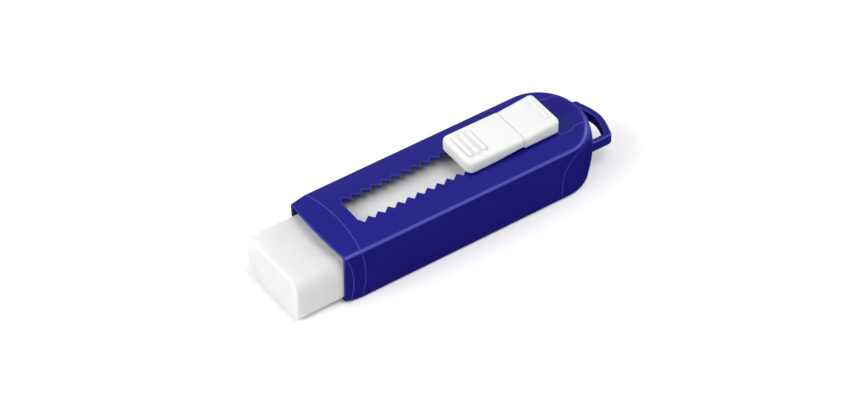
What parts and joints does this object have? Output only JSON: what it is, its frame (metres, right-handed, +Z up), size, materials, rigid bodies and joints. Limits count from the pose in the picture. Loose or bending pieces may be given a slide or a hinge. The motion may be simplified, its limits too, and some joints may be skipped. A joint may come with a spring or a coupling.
{
  "type": "slide-out eraser",
  "caption": "Hand-held block eraser in a plastic sleeve, pushed out of the mouth by a thumb slide with a press catch; hanging loop at the rear.",
  "frame": {"origin": "middle of the sleeve's flat underside, half way between its mouth and its rear wall", "axes": "+X from the mouth towards the hanging loop, +Y across the sleeve, +Z up, out of the top that carries the thumb slide"},
  "size_m": [0.1019, 0.0254, 0.0219],
  "materials": {
    "sleeve_plastic": "satin-gloss moulded plastic, deep blue",
    "slide_plastic": "satin moulded plastic, white",
    "inner_plastic": "matte natural white moulded plastic",
    "spring_steel": "bright drawn steel",
    "eraser_rubber": "matte white eraser vinyl"
  },
  "bodies": {
    "sleeve": {"sleeve_shell": "sleeve_plastic", "front_collar": "sleeve_plastic", "rear_cap": "sleeve_plastic"},
    "slider": {"thumb_slide": "slide_plastic", "slide_carriage": "inner_plastic", "latch_spring": "spring_steel", "hinge_pin": "spring_steel"},
    "latch": {"latch_button": "slide_plastic", "detent_pawl": "inner_plastic"},
    "eraser": {"eraser_block": "eraser_rubber"}
  },
  "joints": [
    {"name": "feed_slide", "type": "slide", "parent": "sleeve", "child": "slider", "axis": [-1, 0, 0], "range_m": [0, 0.03]},
    {"name": "latch_press", "type": "hinge", "parent": "slider", "child": "latch", "pos_m": [0.01885, 0, 0.0183], "axis": [0, -1, 0], "range_deg": [0, 1.1], "stiffness_Nm_per_rad": 0.6, "springref_deg": -1.15},
    {"name": "block_pull", "type": "slide", "parent": "slider", "child": "eraser", "axis": [-1, 0, 0], "range_m": [0, 0.01]}
  ]
}
